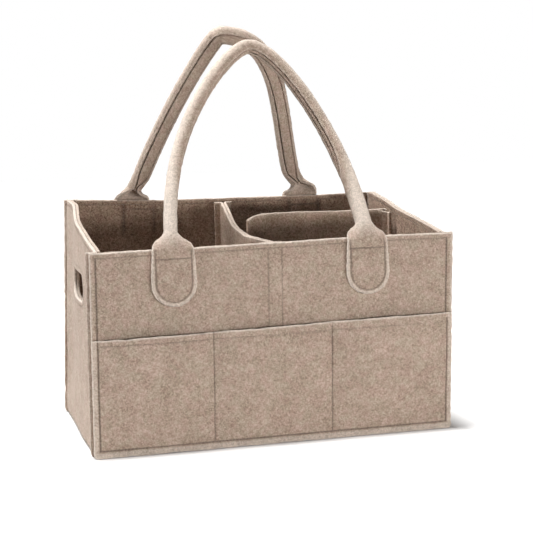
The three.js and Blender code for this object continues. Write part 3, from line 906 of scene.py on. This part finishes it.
class Arch:
    """The line of a handle: its arch in its own plane, and the way that plane bends over the wall."""

    def __init__(self, name):
        self.spec = spec = HANDLES[name]
        self.way = way = spec["way"]
        foot_x = TAB_SPACING / 2
        rise = spec["rise"]
        crown = np.array([way * spec["crown"] * foot_x, rise])
        t = np.linspace(0, 1, 400)[:, None]
        legs = []
        for side in (-1, 1):
            up_share, in_share, crown_share = spec["left" if side * way < 0 else "right"]
            foot = np.array([side * foot_x, 0])
            above = np.array([side * foot_x * (1 - in_share), rise * up_share])
            leg = cubic(t, foot, above, crown + (side * foot_x * crown_share, 0), crown)
            leg[:, 0] += (side * foot_x - leg[:, 0]) * smooth(leg[:, 1], TILT_REACH, 0)
            legs.append(leg)
        self.line = np.vstack([legs[0], legs[1][::-1][1:]])
        self.at = lengths_along(self.line)
        self.total = self.at[-1]
        self.tangent = unit(np.gradient(self.line, self.at, axis=0))
        self.heights = heights = np.linspace(LEAN_RANGE[0], rise + LEAN_RANGE[1], 1200)
        lean = np.radians(between(spec["lean"], np.clip(heights / rise, 0, 1)))
        self.lean = lean * smooth(heights, *LEAN_REACH)
        bent = np.cumsum([np.sin(self.lean), np.cos(self.lean)], axis=1).T * (heights[1] - heights[0])
        self.bent = bent - points_at(UPRIGHT_HEIGHT, heights, bent) + (0, UPRIGHT_HEIGHT)
        tab_low, tab_high = box_mm(f"{name}_handle_left_tab")
        self.hinge = np.array([0, (tab_low[1] + tab_high[1]) / 2, tab_high[2] - FELT / 2])

    def from_foot(self, s):
        return np.minimum(s, self.total - s)

    def world(self, across, inward, s):
        point = points_at(s, self.at, self.line)
        tangent = unit(points_at(s, self.at, self.tangent))
        point[:, 1] += np.minimum(s, 0) - np.maximum(s - self.total, 0)
        a = point[:, 0] - tangent[:, 1] * across
        h = point[:, 1] + tangent[:, 0] * across
        lean = np.interp(h, self.heights, self.lean)
        y, z = points_at(h, self.heights, self.bent).T + inward * np.array([np.cos(lean), -np.sin(lean)])
        return self.hinge + np.stack([self.way * a, self.way * y, z], -1)

    def roll(self, s):
        """Half of the rolled angle, half of the strip's width, and how far the roll is closed."""
        from_foot = self.from_foot(s)
        t = np.clip((from_foot - ROLL_START) / (ROLL_LENGTH - ROLL_START), 0, 1)
        eased = t ** ROLL_POWER
        pinch = self.spec["pinch"] * np.exp(-((from_foot - PINCH_PLACE) / PINCH_REACH) ** 2)
        angle = FLAT_ROLL + (self.spec["roll"] - FLAT_ROLL) * eased + pinch
        half_width = between((TAB_WIDTH, STRIP_WIDTH), smooth(from_foot, *NARROWING)) / 2
        return angle, half_width, eased

    def section(self, turn, reach, s):
        """Across and inward of a point of the rolled strip, open towards the inside of the arch."""
        angle, half_width, eased = self.roll(s)
        along = smooth(s, 0, self.total)
        twist = np.radians(between(self.spec["twist"], along)) * smooth(self.from_foot(s), *TWIST_REACH)
        out = reach * np.sin(turn)
        deep = -reach * np.cos(turn)
        across = out * np.cos(twist) - deep * np.sin(twist)
        inward = half_width / angle + deep * np.cos(twist) + out * np.sin(twist)
        wide = between(self.spec["wide"][::self.way], along)
        return across * (1 + (wide - 1) * eased), inward * (1 + (self.spec["deep"] - 1) * eased)


def handle_grid(arch, tab_length, cross_seam):
    """The flat strip with its round ends, finest at the seams and where it starts to roll."""
    radius = TAB_WIDTH / 2
    rolled = ROLL_LENGTH + SHOULDER_ROOM
    left = np.concatenate([
        -tab_length + radius * (1 - np.cos(np.linspace(0.12, math.pi / 2, 15))),
        lines(-tab_length + radius, TAB_ROW_END, TAB_ROW_STEP, seams=(cross_seam,))[1:],
        np.arange(0, rolled, SHOULDER_STEP),
        np.linspace(rolled, arch.total / 2, 70)[1:],
    ])
    rows = np.concatenate([left, arch.total - left[::-1][1:]])
    at_seam = 1 - TAB_SEAM_INSET / radius
    half_columns = np.array([*TAB_COLUMN_SHARES, *(at_seam + d for d in TAB_SEAM_SHARES), *TAB_RIM_SHARES])
    points, quads = grid(np.concatenate([-half_columns[:0:-1], half_columns]), rows)
    from_end = arch.from_foot(points[..., 1]) + tab_length
    round_half = np.sqrt(np.maximum(radius ** 2 - (radius - np.minimum(from_end, radius)) ** 2, 0))
    points[..., 0] *= np.where(from_end < radius, round_half, arch.roll(points[..., 1])[1])
    return points, quads


def handle_core(arch):
    """The soft rod inside the strip, swelling a little out of the gap between its lips."""
    near_foot = np.arange(ROLL_LENGTH, CORE_FOOT, CORE_FOOT_STEP)
    along = np.linspace(CORE_FOOT, arch.total - CORE_FOOT, 110)
    rings = np.unique(np.concatenate([near_foot, along, arch.total - near_foot[::-1]]))
    s, around = np.meshgrid(rings, 2 * math.pi * np.arange(CORE_SIDES) / CORE_SIDES, indexing="ij")
    index = np.arange(s.size).reshape(s.shape)
    s, around = s.ravel(), around.ravel()
    angle, half_width, eased = arch.roll(s)
    turned = np.abs((around + math.pi) % (2 * math.pi) - math.pi)
    bulge = CORE_BULGE * smooth(turned - angle, *CORE_BULGE_TURN) * eased
    reach = half_width / angle - FELT / 2 - LIP_GAP + bulge
    points = arch.world(*arch.section(around, reach, s), s)
    faces = [cells(np.hstack([index, index[:, :1]]))]
    k = np.arange(CORE_SIDES // 2 - 1)
    cap = np.stack([k, k + 1, CORE_SIDES - 2 - k, CORE_SIDES - 1 - k], -1)
    faces += [index[0][cap], index[-1][cap][:, ::-1]]
    return plain(points, np.vstack(faces))


def handle(name):
    arch = Arch(name)
    body = f"{name}_handle"
    tab_length = TAB_DROP + HINGE_RISE
    cross_seam = -(HINGE_RISE + TAB_BAR_DROP)
    near = tab_lines(0, -tab_length, -TAB_SEAM_TOP, cross_seam)
    far = [np.stack([line[:, 0], arch.total - line[:, 1]], -1) for line in near]
    seams = [(line, CLEAR_SEAM) for line in (*near, *far)]

    def settle(points):
        return points + arch.spec["shift"]

    def place(uv):
        angle, half_width, _ = arch.roll(uv[:, 1])
        across, inward = arch.section(uv[:, 0] / half_width * angle, half_width / angle, uv[:, 1])
        return arch.world(across, inward, uv[:, 1])

    def pale_marks(uv):
        along = arch.from_foot(uv[:, 1])
        away = np.hypot(uv[:, 0], np.minimum(along + tab_length - TAB_WIDTH / 2, 0))
        margin = MARGIN_SHARE * smooth(away - TAB_WIDTH / 2 + TAB_SEAM_INSET, *MARGIN_BAND)
        angle, half_width, eased = arch.roll(uv[:, 1])
        turned = np.abs(uv[:, 0] / half_width * angle)
        # The outer face of the roll is painted lighter: painted highlight where light falls on the tube
        painted_highlight = HANDLE_HIGHLIGHT_SHARE * smooth(turned, *HANDLE_HIGHLIGHT_TURN)
        return np.maximum(margin * (along < 0), painted_highlight * eased)

    # Painted shade on the lips, which face into the arch
    def shaded_lip_share(uv, outward):
        return 1 - LIP_SHADE_SHARE * arch.roll(uv[:, 1])[2]

    part = sheet(*handle_grid(arch, tab_length, cross_seam), place, seams, pinch=(0, 1), swell=0,
                 rough=HANDLE_GRAIN, rim_share=shaded_lip_share, pale_marks=pale_marks)
    sew("caddy", seams, place, -1, settle=settle)
    cover = add_object(f"{name}_handle_felt", part, felt, settle)
    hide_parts(f"{name}_handle_cover", f"{name}_handle_left_tab", f"{name}_handle_right_tab")
    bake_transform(cover)
    dress(f"{name}_handle_filling", handle_core(arch), felt, body, f"{name}_handle_core", settle)


handle("front")
handle("back")


# Divider: sheets that follow a line in plan, bent round at their ends

FLAP = 9.0
SWING_ROOM = 0.9
DIVIDER_SWELL = 0.25
NOMINAL_HEIGHT = 1000.0
DIVIDER_ROW_STEP = 24.0
DIVIDER_EDGE_STEP = 1.0
LEAST_COLUMN_STEP = 0.3
SPINE_FOLD = 3.2
CROSS_FOLD = 2.2
CROSS_FOLD_START = 7.0
CROSS_FOLD_SIDE = 4.2
CROSS_ROUNDING = 6.5
CROSS_ROUNDING_REACH = 20.0
CROSS_ROUNDING_POWER = 2.4
CROSS_DROP_REACH = 14.0
CROSS_WAVE = 0.6
CROSS_WAVE_REACH = 24.0


def bent_path(points, radius, arc_steps=8):
    """A line in plan with rounded corners, as a dense list of points."""
    points = [np.array(p, float) for p in points]
    line = [points[0]]
    for before, corner, after in zip(points, points[1:], points[2:]):
        into = unit(corner - before)
        out = unit(after - corner)
        turn = math.acos(float(np.clip(into @ out, -1, 1)))
        cut = radius * math.tan(turn / 2)
        start, end = corner - into * cut, corner + out * cut
        for t in np.linspace(0, 1, arc_steps):
            line.append((1 - t) ** 2 * start + 2 * (1 - t) * t * corner + t ** 2 * end)
    line.append(points[-1])
    return np.array(line)


def plan_sheet(points, radius, top):
    """An upright sheet over a line in plan. Its top edge has a height at each point in plan."""
    line = bent_path(points, radius)
    lengths = lengths_along(line)
    total = lengths[-1]
    first, last = unit(line[1] - line[0]), unit(line[-1] - line[-2])

    def plan(u):
        beyond = np.minimum(u, 0)[:, None] * first + np.maximum(u - total, 0)[:, None] * last
        return points_at(u, lengths, line) + beyond

    def place(uv):
        return np.hstack([plan(uv[:, 0]), uv[:, 1:]])

    bends = np.unique(np.round(np.concatenate([lines(0, total), lengths[1:-1]]), 2))
    columns = thinned(bends, LEAST_COLUMN_STEP)
    shares = lines(0, NOMINAL_HEIGHT, DIVIDER_ROW_STEP) / NOMINAL_HEIGHT
    points, quads = grid(columns, shares)
    high = top(plan(columns))
    points[..., 1] = DIVIDER_BOTTOM + shares * (high[:, None] - DIVIDER_BOTTOM)
    points[:, 1, 1] = DIVIDER_BOTTOM + DIVIDER_EDGE_STEP
    points[:, -2, 1] = high - DIVIDER_EDGE_STEP
    return sheet(points, quads, place, swell=DIVIDER_SWELL, rim_share=lit_top_only_rim)


def spine_height(plan):
    return edge_height(plan[:, 1], SPINE_LINE_SHARES, SPINE_CURVE_SHARES)


def cross_height(drop_at_end):
    def height(plan):
        x = plan[:, 0] - cross_low[0]
        rounded = CROSS_ROUNDING * np.clip(1 - x / CROSS_ROUNDING_REACH, 0, 1) ** CROSS_ROUNDING_POWER
        falling = drop_at_end * smooth(cross_high[0] - plan[:, 0], CROSS_DROP_REACH, 0)
        return cross_high[2] - rounded - falling + CROSS_WAVE * np.sin(x / CROSS_WAVE_REACH)
    return height


spine_low, spine_high = box_mm("divider_left_sheet")
cross_low, cross_high = box_mm("cross_divider_front_sheet")
DIVIDER_BOTTOM = spine_low[2]
PLY_MIDDLE = PLY_GAP / 2 + FELT / 2
front_y, back_y = spine_low[1] + FELT / 2, spine_high[1] - FELT / 2
front_seam_y = box_mm("divider_front_right_sheet")[1][1]
back_seam_y = box_mm("divider_back_right_sheet")[0][1]
for name, line in (
    ("divider_left", [(-FLAP, front_y), (-PLY_MIDDLE, front_y), (-PLY_MIDDLE, back_y), (-FLAP, back_y)]),
    ("divider_front_right", [(PLY_MIDDLE, front_seam_y), (PLY_MIDDLE, front_y), (FLAP, front_y)]),
    ("divider_back_right", [(FLAP, back_y), (PLY_MIDDLE, back_y), (PLY_MIDDLE, back_seam_y)]),
):
    part = plan_sheet(line, SPINE_FOLD, spine_height)
    dress(f"{name}_felt", part, bounce_tinted_divider_felt, "divider_insert", f"{name}_sheet")

end_x = cross_high[0] - FELT / 2
for name, way, drop in (("cross_divider_front", -1, 4.0), ("cross_divider_back", 1, 0.5)):
    ply_y = CROSS_Y + way * PLY_MIDDLE
    line = [
        (cross_low[0] + SWING_ROOM, ply_y),
        (end_x - CROSS_FOLD_START, ply_y),
        (end_x, CROSS_Y + way * CROSS_FOLD_SIDE),
        (end_x, CROSS_Y + way * FLAP),
    ]
    part = plan_sheet(line, CROSS_FOLD, cross_height(drop))
    dress(f"{name}_felt", part, bounce_tinted_divider_felt, "cross_divider", f"{name}_sheet")


# Hook and loop tapes: thin strips with a pile

TAPE_STEPS = (2.5, 4.0)
TAPE_GRAIN = 0.04
TAPE_ROOM = 0.05


def tape_strip(node, body, pile):
    low, high = box_mm(node)
    size = high - low
    across, thin = (0, 1) if size[0] > size[1] else (1, 0)
    columns = lines(low[across], high[across], TAPE_STEPS[0])
    points, quads = grid(columns, lines(low[2], high[2], TAPE_STEPS[1]))

    def place(uv):
        spot = np.tile((low + high) / 2, (len(uv), 1))
        spot[:, (across, 2)] = uv
        return spot

    part = sheet(points, quads, place, swell=0, rough=TAPE_GRAIN, half=size[thin] / 2 - TAPE_ROOM)
    dress(f"{node}_strip", part, pile, body, node)


for side, hook_body in (
    ("front", "divider_insert"), ("back", "divider_insert"), ("right_side", "cross_divider"),
):
    tape_strip(f"{side}_loop_tape", "caddy", loop_pile)
    tape_strip(f"{side}_hook_tape", hook_body, hook_pile)


for body, parts in threads.items():
    stitching = add_object(f"{body}_stitching", merged(parts), thread, settle=np.array)
    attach(stitching, body)


# Studio, in metres: a pale floor that shows white to the camera and keeps the shadow, with a painted shadow
# where its glow fades near the caddy's foot

FLOOR_REACH = 6.0
FLOOR_DROP = 0.0003
GLOW_AND_PAINTED_SHADOW_RANGE = {"From Min": 0.001, "From Max": 0.03, "To Min": 0.1, "To Max": 1.0}
SOFTBOXES = {
    "left_softbox": ((-1.75, -0.3, 0.28), (0, 0, 0.14), (0.8, 0.5), 15.5, (0.97, 0.985, 1.0)),
    "front_low_softbox": ((1.15, -1.6, 0.09), (0, 0, 0.09), (1.3, 0.17), 26, (1.0, 0.985, 0.97)),
    "top_softbox": ((-0.35, 0.1, 1.7), (0, 0, 0.2), (0.5, 0.5), 38, (1.0, 1.0, 1.0)),
}
CAMERA_TURNS = ((-14.104, "Z"), (83.943, "X"), (-1.906, "Z"))
CAMERA_PLACE = (-0.3032, -1.293, 0.2876)
CAMERA_CLIP = (0.05, 50)
FOCAL_PX = 1401.7
PHOTO_PX = 533
SENSOR_WIDTH = 36


def studio_floor():
    mesh = bpy.data.meshes.new("studio_floor")
    corners = [(x * FLOOR_REACH, y * FLOOR_REACH, 0) for x, y in ((-1, -1), (1, -1), (1, 1), (-1, 1))]
    mesh.from_pydata(corners, [], [(0, 1, 2, 3)])
    obj = linked("studio_floor", mesh)
    obj.location.z = cad_box[0][2] - FLOOR_DROP
    material, tree, place = new_material("studio_floor")
    seen = add_node(tree, "ShaderNodeLightPath").outputs["Is Camera Ray"]
    diffuse = add_node(tree, "ShaderNodeBsdfDiffuse", {"Color": (0.78, 0.77, 0.76, 1)}).outputs[0]
    spot = add_node(tree, "ShaderNodeSeparateXYZ", {0: place}).outputs
    # The glow fades to a tenth within 30 mm of the caddy's footprint: a painted contact shadow
    away = [sums(tree, "SUBTRACT", sums(tree, "ABSOLUTE", spot[axis], 0.0), size / 2 * MM)
            for axis, size in enumerate((LENGTH, BOX_DEPTH))]
    glow_over_painted_shadow = add_node(tree, "ShaderNodeMapRange", {"Value": sums(tree, "MAXIMUM", *away), **GLOW_AND_PAINTED_SHADOW_RANGE})
    glow = add_node(tree, "ShaderNodeEmission", {"Color": (1, 1, 1, 1), "Strength": glow_over_painted_shadow.outputs["Result"]})
    both = add_node(tree, "ShaderNodeAddShader", {0: diffuse, 1: glow.outputs[0]}).outputs[0]
    mixed = add_node(tree, "ShaderNodeMixShader", {"Fac": seen, 1: diffuse, 2: both})
    add_node(tree, "ShaderNodeOutputMaterial", {"Surface": mixed.outputs[0]})
    mesh.materials.append(material)


def studio_world():
    world = bpy.data.worlds.new("studio")
    bpy.context.scene.world = world
    tree = nodes_of(world)
    path = add_node(tree, "ShaderNodeLightPath").outputs
    seen = sums(tree, "MAXIMUM", path["Is Camera Ray"], path["Is Glossy Ray"])
    seen = sums(tree, "MAXIMUM", seen, path["Is Transmission Ray"])
    soft = add_node(tree, "ShaderNodeBackground", {"Color": (1.0, 0.985, 0.97, 1), "Strength": 0.12})
    white = add_node(tree, "ShaderNodeBackground", {"Color": (1, 1, 1, 1), "Strength": 1.0})
    mixed = add_node(tree, "ShaderNodeMixShader", {"Fac": seen, 1: soft.outputs[0], 2: white.outputs[0]})
    add_node(tree, "ShaderNodeOutputWorld", {"Surface": mixed.outputs[0]})


def softbox(name, place, aim, size, watts, colour):
    light = bpy.data.lights.new(name, "AREA")
    light.shape = "RECTANGLE"
    light.size, light.size_y = size
    light.energy = watts
    light.color = colour
    obj = linked(name, light)
    obj.location = place
    obj.rotation_euler = (Vector(aim) - Vector(place)).to_track_quat("-Z", "Y").to_euler()
    obj.visible_camera = False


def photo_camera():
    data = bpy.data.cameras.new("photo_camera")
    data.sensor_width = SENSOR_WIDTH
    data.lens = SENSOR_WIDTH * FOCAL_PX / PHOTO_PX
    data.clip_start, data.clip_end = CAMERA_CLIP
    camera = linked("photo_camera", data)
    camera.matrix_world = Matrix.Translation(CAMERA_PLACE)
    for angle, axis in CAMERA_TURNS:
        camera.matrix_world = camera.matrix_world @ Matrix.Rotation(math.radians(angle), 4, axis)
    bpy.context.scene.camera = camera


studio_floor()
studio_world()
for name, settings in SOFTBOXES.items():
    softbox(name, *settings)
photo_camera()

bpy.context.scene.view_settings.view_transform = "Standard"
